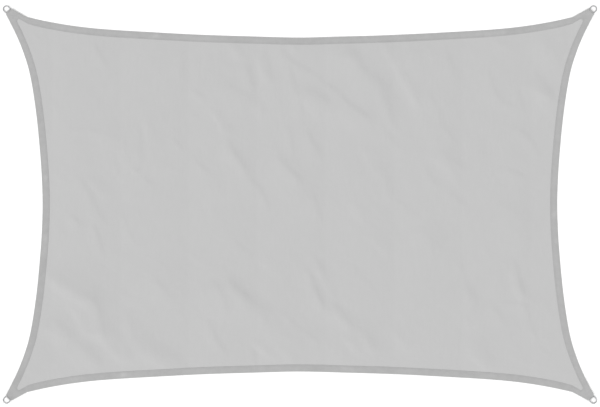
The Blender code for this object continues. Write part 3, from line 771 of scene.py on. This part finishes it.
def sail(field_material, hem_material):
    """The cloth: a sheet out to its edges, and the hem that rolls over them and lies on it."""
    plan, line = whole_plan()
    base = underside(plan[..., 0], plan[..., 1])
    edge = walk(0)
    outward = ways_out(plan[edge])
    drawn_in = plan.copy()
    drawn_in[edge] -= HEM_RADIUS * outward

    skin = Skin()
    sheet = skin.add(np.dstack((drawn_in, base + LOWER)).reshape(-1, 3))
    skin.faces += grid_faces(sheet.reshape(line.shape))
    sheet_faces = len(skin.faces)
    hemmed = line <= HEM_LINE
    top = np.full(line.shape, -1)
    top[hemmed] = skin.add(np.dstack((drawn_in, hem_top(plan, line, base)))[hemmed])
    skin.faces += grid_faces(top)
    roll_over(skin, plan[edge], outward, base[edge], top[edge])
    bring_down(skin, plan, base, top)

    cloth = mesh_object("knitted_sail", np.vstack(skin.points), skin.faces, field_material)
    cloth.data.materials.append(hem_material)
    is_hem = np.zeros(len(skin.faces), int)
    is_hem[sheet_faces:] = 1
    cloth.data.polygons.foreach_set("material_index", is_hem)
    tones = np.full(skin.count, HEM_DARKEST)
    tones[top[hemmed]] = hem_tones(*plan[hemmed].T, line[hemmed])
    cloth.data.attributes.new(HEM_TONE, "FLOAT", "POINT").data.foreach_set("value", tones)
    return cloth


def hem_row(inset):
    """Points of a row of stitches right round the sail, at one distance from its edge."""
    long_count, short_count = HEM_ROW_POINTS
    long_part = long_point(np.linspace(LONG_FOOT, 0, long_count), inset)
    short_part = short_point(np.linspace(0, SHORT_FOOT, short_count), inset)
    corner = on_diagonal(HEM_CORNER - HEM_WIDTH + inset)
    quarter = np.vstack((short_part, corner, long_part))
    upper = np.vstack((quarter, quarter[-2::-1] * (-1, 1)))
    return np.vstack((upper, upper[-2::-1] * (1, -1)))


def corner_rows():
    """Points of the rows of stitches that hold the webbing: a box with a cross in it."""
    near, far = CORNER_BOX
    half = CORNER_BOX_WIDTH / 2
    a, b, c, d = (near, -half), (far, -half), (far, half), (near, half)
    rows = []
    for sx, sy in CORNERS.values():
        eye = np.array((sx * SPAN_X / 2, sy * SPAN_Y / 2))
        inwards = np.array((-sx, -sy)) * DIAGONAL
        across = np.array((-inwards[1], inwards[0]))
        for line in ((a, b, c, d, a), (a, c), (b, d)):
            rows.append(np.array([eye + u * inwards + v * across for u, v in line]))
    return rows


def on_cloth(tree, places, above=1.0):
    """Points of the cloth's upper face straight below the places."""
    down = Vector((0.0, 0.0, -1.0))
    starts = [Vector((x, y, above)) for x, y in places.tolist()]
    return np.array([tree.ray_cast(start, down)[0] for start in starts])


def stitches(name, rows, tree, material):
    """Short raised threads along each row of points."""
    starts, ends = [], []
    for row in rows:
        along = distances(row)
        middles = (np.arange(int(along[-1] / STITCH_PITCH)) + 0.5) * STITCH_PITCH
        for offset, places in ((-0.5, starts), (0.5, ends)):
            at = middles + offset * STITCH_LENGTH
            places.append(np.column_stack([np.interp(at, along, row[:, k]) for k in (0, 1)]))
    first = on_cloth(tree, np.vstack(starts))
    way = on_cloth(tree, np.vstack(ends)) - first
    side = np.column_stack((-way[:, 1], way[:, 0], np.zeros(len(way))))
    side *= STITCH_WIDTH / 2 / np.linalg.norm(side, axis=1)[:, None]
    up = np.array((0.0, 0.0, STITCH_WIDTH / 2))
    rings = []
    for along, width, height in STITCH_PROFILE:
        centre = first + along * way
        for v, w in STITCH_SECTION:
            rings.append(centre + width * v * side + (height * w + STITCH_LIFT) * up)
    points = np.stack(rings, axis=1).reshape(-1, 3)
    index = np.arange(len(points)).reshape(-1, len(STITCH_PROFILE), len(STITCH_SECTION))
    return mesh_object(name, points, grid_faces(index.swapaxes(1, 2)), material)


def arc(centre, radius, start, end, segments):
    """Points of an arc, both ends included, from angles in degrees."""
    angles = np.radians(np.linspace(start, end, segments + 1))
    return [(centre[0] + radius * math.cos(a), centre[1] + radius * math.sin(a)) for a in angles]


def place_at_corner(thing, signs, height, tilt=0.0):
    """Put the origin on the ring's bar line, with local +X pointing in along the diagonal."""
    x, y = on_diagonal(BAR) * signs
    thing.location = (x, y, height)
    thing.rotation_euler = (0.0, -tilt, math.atan2(-signs[1], -signs[0]))


def steel_ring(corner, signs, material):
    """The welded D-ring: round wire, a half-round bow, two straight legs and a bar."""
    bend_x = -RING_CORNER
    bend_y = RING_HALF_WIDTH - RING_CORNER
    path = arc((BOW_CENTRE - BAR, 0.0), RING_HALF_WIDTH, 90, 270, segments=40)
    path += arc((bend_x, -bend_y), RING_CORNER, 270, 360, segments=8)
    path += arc((bend_x, bend_y), RING_CORNER, 0, 90, segments=8)
    name = f"steel_ring_{corner}"
    curve = bpy.data.curves.new(name, "CURVE")
    set_all(curve, dimensions="3D", bevel_depth=WIRE / 2, bevel_resolution=6)
    wire = curve.splines.new("POLY")
    wire.points.add(len(path) - 1)
    for point, (x, y) in zip(wire.points, path):
        point.co = (x, y, 0.0, 1.0)
    set_all(wire, use_cyclic_u=True, use_smooth=True)
    curve.materials.append(material)
    ring = add_object(name, curve)
    tilt = math.asin((BAR_HEIGHT - BOW_HEIGHT) / (BAR - BOW_CENTRE + RING_HALF_WIDTH))
    place_at_corner(ring, signs, BAR_HEIGHT, tilt)
    return ring


def webbing_path():
    """The tape from the side: in under the bar, round it and back over its own lower tail."""
    radius = WIRE_CORNER + GAP + WEBBING_THICKNESS / 2
    low = WEBBING_THICKNESS / 2
    high = low + WEBBING_THICKNESS + GAP
    path = [(WEBBING_TAIL, low), (0.0, low)]
    path += arc((0.0, BAR_HEIGHT), radius, *WEBBING_WRAP, segments=30)[1:]
    x, z = path[-1]
    path += [(x + (z - high), high), (WEBBING_TAIL, high)]
    return np.array(path)


def webbing_loop(corner, signs, material):
    """Folded webbing of one thickness, with rounded edges."""
    path = webbing_path()
    along = distances(path)
    across = np.linspace(-0.5, 0.5, WEBBING_STRIPS + 1) * WEBBING_WIDTH
    points = [(x, y, z) for x, z in path for y in across]
    index = np.arange(len(points)).reshape(len(path), len(across))
    loop = mesh_object(f"webbing_loop_{corner}", points, grid_faces(index.T), material)
    layer = loop.data.uv_layers.new(name=TAPE_MAP)
    for corner_data, value in zip(loop.data.loops, layer.data):
        rung, step = divmod(corner_data.vertex_index, len(across))
        value.uv = (along[rung], across[step])
    shell = loop.modifiers.new("Thickness", "SOLIDIFY")
    set_all(shell, thickness=WEBBING_THICKNESS, offset=0.0, use_even_offset=True)
    edge = loop.modifiers.new("Edges", "BEVEL")
    set_all(edge, width=WEBBING_EDGE, segments=3)
    set_all(edge, limit_method="ANGLE", angle_limit=math.radians(50))
    place_at_corner(loop, signs, 0.0)
    return loop


# ---------------- materials


class Graph:
    """A material's nodes, built up from small steps."""

    def __init__(self, name):
        self.material = bpy.data.materials.new(name)
        self.material.use_nodes = True
        self.tree = self.material.node_tree
        self.shader = self.tree.nodes["Principled BSDF"]

    def node(self, kind, **settings):
        made = self.tree.nodes.new(kind)
        set_all(made, **settings)
        return made

    def put(self, socket, value):
        if isinstance(value, bpy.types.NodeSocket):
            self.tree.links.new(value, socket)
        else:
            socket.default_value = value

    def feed(self, node, **values):
        for name, value in values.items():
            self.put(node.inputs[name.replace("_", " ")], value)

    def math(self, operation, *values):
        made = self.node("ShaderNodeMath", operation=operation)
        for socket, value in zip(made.inputs, values):
            self.put(socket, value)
        return made.outputs[0]

    def spread(self, value, low, high):
        """A value from 0 to 1, spread from low to high."""
        return self.math("MULTIPLY_ADD", value, high - low, low)

    def vary(self, factor, value, amount):
        """The factor, which rises by the amount as the value goes from 0 to 1."""
        return self.math("MULTIPLY_ADD", self.math("SUBTRACT", value, 0.5), amount, factor)

    def wave(self, value, pitch):
        """Smooth wave from 0 to 1 with one crest to each pitch."""
        turn = self.math("MULTIPLY", value, 2 * math.pi / pitch)
        return self.math("MULTIPLY_ADD", self.math("COSINE", turn), 0.5, 0.5)

    def noise(self, place, scale, detail=2.0):
        made = self.node("ShaderNodeTexNoise")
        self.feed(made, Vector=place, Scale=scale, Detail=detail)
        return made.outputs["Fac"]

    def place(self):
        """The point in the object's own frame, in metres."""
        return self.node("ShaderNodeTexCoord").outputs["Object"]

    def split(self, place):
        """The first two parts of a place."""
        parts = self.node("ShaderNodeSeparateXYZ")
        self.feed(parts, Vector=place)
        return parts.outputs[0], parts.outputs[1]

    def stretched(self, x, y, size):
        """The place at x and y, counted in steps of the size's two parts."""
        made = self.node("ShaderNodeCombineXYZ")
        for socket, value, step in zip(made.inputs, (x, y), size):
            self.put(socket, self.math("DIVIDE", value, step))
        return made.outputs[0]

    def tint(self, colour, factor):
        """The colour times a factor that varies over the surface."""
        made = self.node("ShaderNodeVectorMath", operation="SCALE")
        self.feed(made, Vector=colour, Scale=factor)
        self.set(Base_Color=made.outputs[0])

    def bump(self, height, distance, strength):
        made = self.node("ShaderNodeBump")
        self.feed(made, Height=height, Distance=distance, Strength=strength)
        self.set(Normal=made.outputs[0])

    def set(self, **values):
        self.feed(self.shader, **values)


def knit_relief(g, x, y):
    """Chains of loops along Y, with flat tapes laid in between them."""
    chain = g.math("POWER", g.wave(x, WALE), 2.0)
    lean = g.math("MULTIPLY_ADD", g.math("PINGPONG", x, WALE / 2), LOOP_LEAN, y)
    loops = g.spread(g.wave(lean, COURSE), low=0.5, high=1.0)
    slant = g.math("MULTIPLY_ADD", x, LAID_SLANT, y)
    tapes = g.math("MULTIPLY", g.math("POWER", g.wave(slant, COURSE), 0.6), 0.7)
    return g.math("MAXIMUM", g.math("MULTIPLY", chain, loops), tapes)


def bands(g, x):
    """Bands along Y that turn pale quickly and dark again slowly, from 0 to 1."""
    turn = g.math("FRACT", g.math("DIVIDE", g.math("SUBTRACT", x, BAND_START), BAND))
    rise = g.math("DIVIDE", turn, BAND_RISE)
    fall = g.math("DIVIDE", g.math("SUBTRACT", 1.0, turn), 1 - BAND_RISE)
    return g.math("MINIMUM", rise, fall)


def knit(name, colour, patch, patch_tone, paler=None):
    """Knitted shade cloth with faint bands, streaks and patches."""
    g = Graph(name)
    place = g.place()
    x, y = g.split(place)
    relief = knit_relief(g, x, y)
    # Painted shade: the colour is darker where the knit lies low, between its chains and tapes, and
    # paler on the raised yarns.
    factor = g.spread(relief, low=0.86, high=1.08)
    factor = g.vary(factor, bands(g, x), BAND_TONE)
    factor = g.vary(factor, g.noise(place, 1 / patch, detail=3.0), patch_tone)
    factor = g.vary(factor, g.noise(place, scale=900.0), amount=0.06)
    streaks = g.noise(g.stretched(x, y, WALE_STREAK), scale=1.0)
    factor = g.vary(factor, streaks, WALE_STREAK_TONE)
    if paler:
        attribute = g.node("ShaderNodeAttribute", attribute_name=paler)
        factor = g.math("ADD", factor, attribute.outputs["Fac"])
    g.tint(colour, factor)
    g.bump(relief, distance=0.0002, strength=0.5)
    g.set(Roughness=0.85, Specular_IOR_Level=0.25, Sheen_Weight=0.05, Sheen_Roughness=0.6)
    return g.material


def tape(name, colour):
    """Woven webbing: cords along its length under close ribs across."""
    g = Graph(name)
    place = g.node("ShaderNodeUVMap", uv_map=TAPE_MAP).outputs[0]
    along, across = g.split(place)
    cords = g.spread(g.wave(across, CORD_PITCH), low=0.4, high=1.0)
    lean = g.math("MULTIPLY_ADD", g.math("PINGPONG", across, 2 * CORD_PITCH), RIB_LEAN, along)
    ribs = g.spread(g.wave(lean, RIB_PITCH), low=0.4, high=1.0)
    relief = g.math("MULTIPLY", cords, ribs)
    # Painted shade: the colour is darker in the grooves between the cords and ribs, and paler on
    # their tops.
    factor = g.spread(relief, low=0.80, high=1.15)
    factor = g.vary(factor, g.noise(place, scale=1200.0), amount=0.12)
    g.tint(colour, factor)
    g.bump(relief, distance=0.0003, strength=0.7)
    g.set(Roughness=0.75, Specular_IOR_Level=0.3, Sheen_Weight=0.05)
    return g.material


def thread(name, colour):
    """Twisted polyester sewing thread."""
    g = Graph(name)
    x, y = g.split(g.place())
    twist = g.wave(g.math("ADD", x, y), TWIST_PITCH)
    # Painted shade: the colour is darker in the grooves of the twist and paler on its ridges.
    g.tint(colour, g.spread(twist, low=0.9, high=1.1))
    g.bump(twist, distance=0.0001, strength=0.5)
    g.set(Roughness=0.55, Specular_IOR_Level=0.4)
    return g.material


def steel(name, colour):
    """Smooth drawn wire with a slightly uneven polish and a fine grain."""
    g = Graph(name)
    place = g.place()
    cloudy = g.noise(place, scale=180.0, detail=3.0)
    g.tint(colour, g.spread(cloudy, low=0.9, high=1.1))
    g.set(Metallic=1.0, Roughness=g.spread(cloudy, low=0.22, high=0.37))
    g.bump(g.noise(place, scale=2500.0), distance=0.00003, strength=0.4)
    return g.material


def paper(name, colour):
    """Matte floor."""
    g = Graph(name)
    g.tint(colour, g.spread(g.noise(g.place(), scale=3.0), low=0.995, high=1.005))
    g.set(Roughness=0.95, Specular_IOR_Level=0.1)
    return g.material


# ---------------- set


def place_camera():
    """Straight above, with the picture's width at its own scale."""
    data = bpy.data.cameras.new("camera")
    set_all(data, lens=LENS, sensor_width=SENSOR, clip_end=100)
    camera = add_object("camera", data)
    x = (AIM_PIXEL[0] - MIDDLE_PIXEL[0]) * PIXEL
    y = (MIDDLE_PIXEL[1] - AIM_PIXEL[1]) * PIXEL
    camera.location = (x, y, PICTURE_WIDTH * PIXEL * LENS / SENSOR)
    bpy.context.scene.camera = camera


def light_set():
    """An even white sky and one wide, soft light."""
    world = bpy.data.worlds.new("studio")
    world.use_nodes = True
    sky = world.node_tree.nodes["Background"]
    sky.inputs["Color"].default_value = (1.0, 1.0, 1.0, 1.0)
    sky.inputs["Strength"].default_value = SKY_LIGHT
    bpy.context.scene.world = world
    data = bpy.data.lights.new("softbox", "SUN")
    set_all(data, energy=SUN_STRENGTH, angle=math.radians(SUN_ANGLE))
    lamp = add_object("softbox", data)
    lamp.rotation_mode = "QUATERNION"
    lamp.rotation_quaternion = Vector(SUN_DIRECTION).to_track_quat("-Z", "Y")
    bpy.context.scene.view_settings.view_transform = "Standard"


def lay_floor(material):
    """A plain sheet, just below the part's own floor so that the two don't meet."""
    points = [(x * FLOOR_REACH, y * FLOOR_REACH, 0.0) for x, y in CORNERS.values()]
    floor = mesh_object("floor", points, [(0, 1, 2, 3)], material)
    floor.location = (0.0, 0.0, FLOOR_HEIGHT)


def adopt(piece, slot, *nodes):
    """Let the piece ride on the sail's one body, in place of its solids. The slot is not used."""
    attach(piece, "root")
    if nodes:
        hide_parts(*nodes)


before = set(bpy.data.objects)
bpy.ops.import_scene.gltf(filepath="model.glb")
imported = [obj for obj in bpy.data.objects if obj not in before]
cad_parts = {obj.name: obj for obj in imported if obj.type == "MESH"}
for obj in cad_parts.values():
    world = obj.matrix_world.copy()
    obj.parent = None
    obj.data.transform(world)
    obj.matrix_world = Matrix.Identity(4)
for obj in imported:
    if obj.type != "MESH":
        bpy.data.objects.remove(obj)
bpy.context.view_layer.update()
place_camera()
light_set()
lay_floor(paper("floor_paper", FLOOR_COLOUR))

cloth_material = knit("knitted_cloth", CLOTH_COLOUR, CLOTH_PATCH, CLOTH_PATCH_TONE)
hem_material = knit("knitted_hem", HEM_COLOUR, HEM_PATCH, HEM_PATCH_TONE, HEM_TONE)
webbing_material = tape("webbing", WEBBING_COLOUR)
thread_material = thread("sewing_thread", THREAD_COLOUR)
steel_material = steel("steel_wire", STEEL_COLOUR)

cloth = sail(cloth_material, hem_material)
adopt(cloth, "cloth", "sail_cloth")
cloth_tree = BVHTree.FromObject(cloth, bpy.context.evaluated_depsgraph_get())
hem_thread = stitches("hem_stitching", map(hem_row, HEM_ROWS), cloth_tree, thread_material)
adopt(hem_thread, "webbing")
corner_thread = stitches("corner_stitching", corner_rows(), cloth_tree, thread_material)
adopt(corner_thread, "webbing")
for corner, signs in CORNERS.items():
    loop = webbing_loop(corner, signs, webbing_material)
    adopt(loop, "webbing", f"corner_loop_{corner}")
    adopt(steel_ring(corner, signs, steel_material), "steel", f"corner_ring_{corner}")
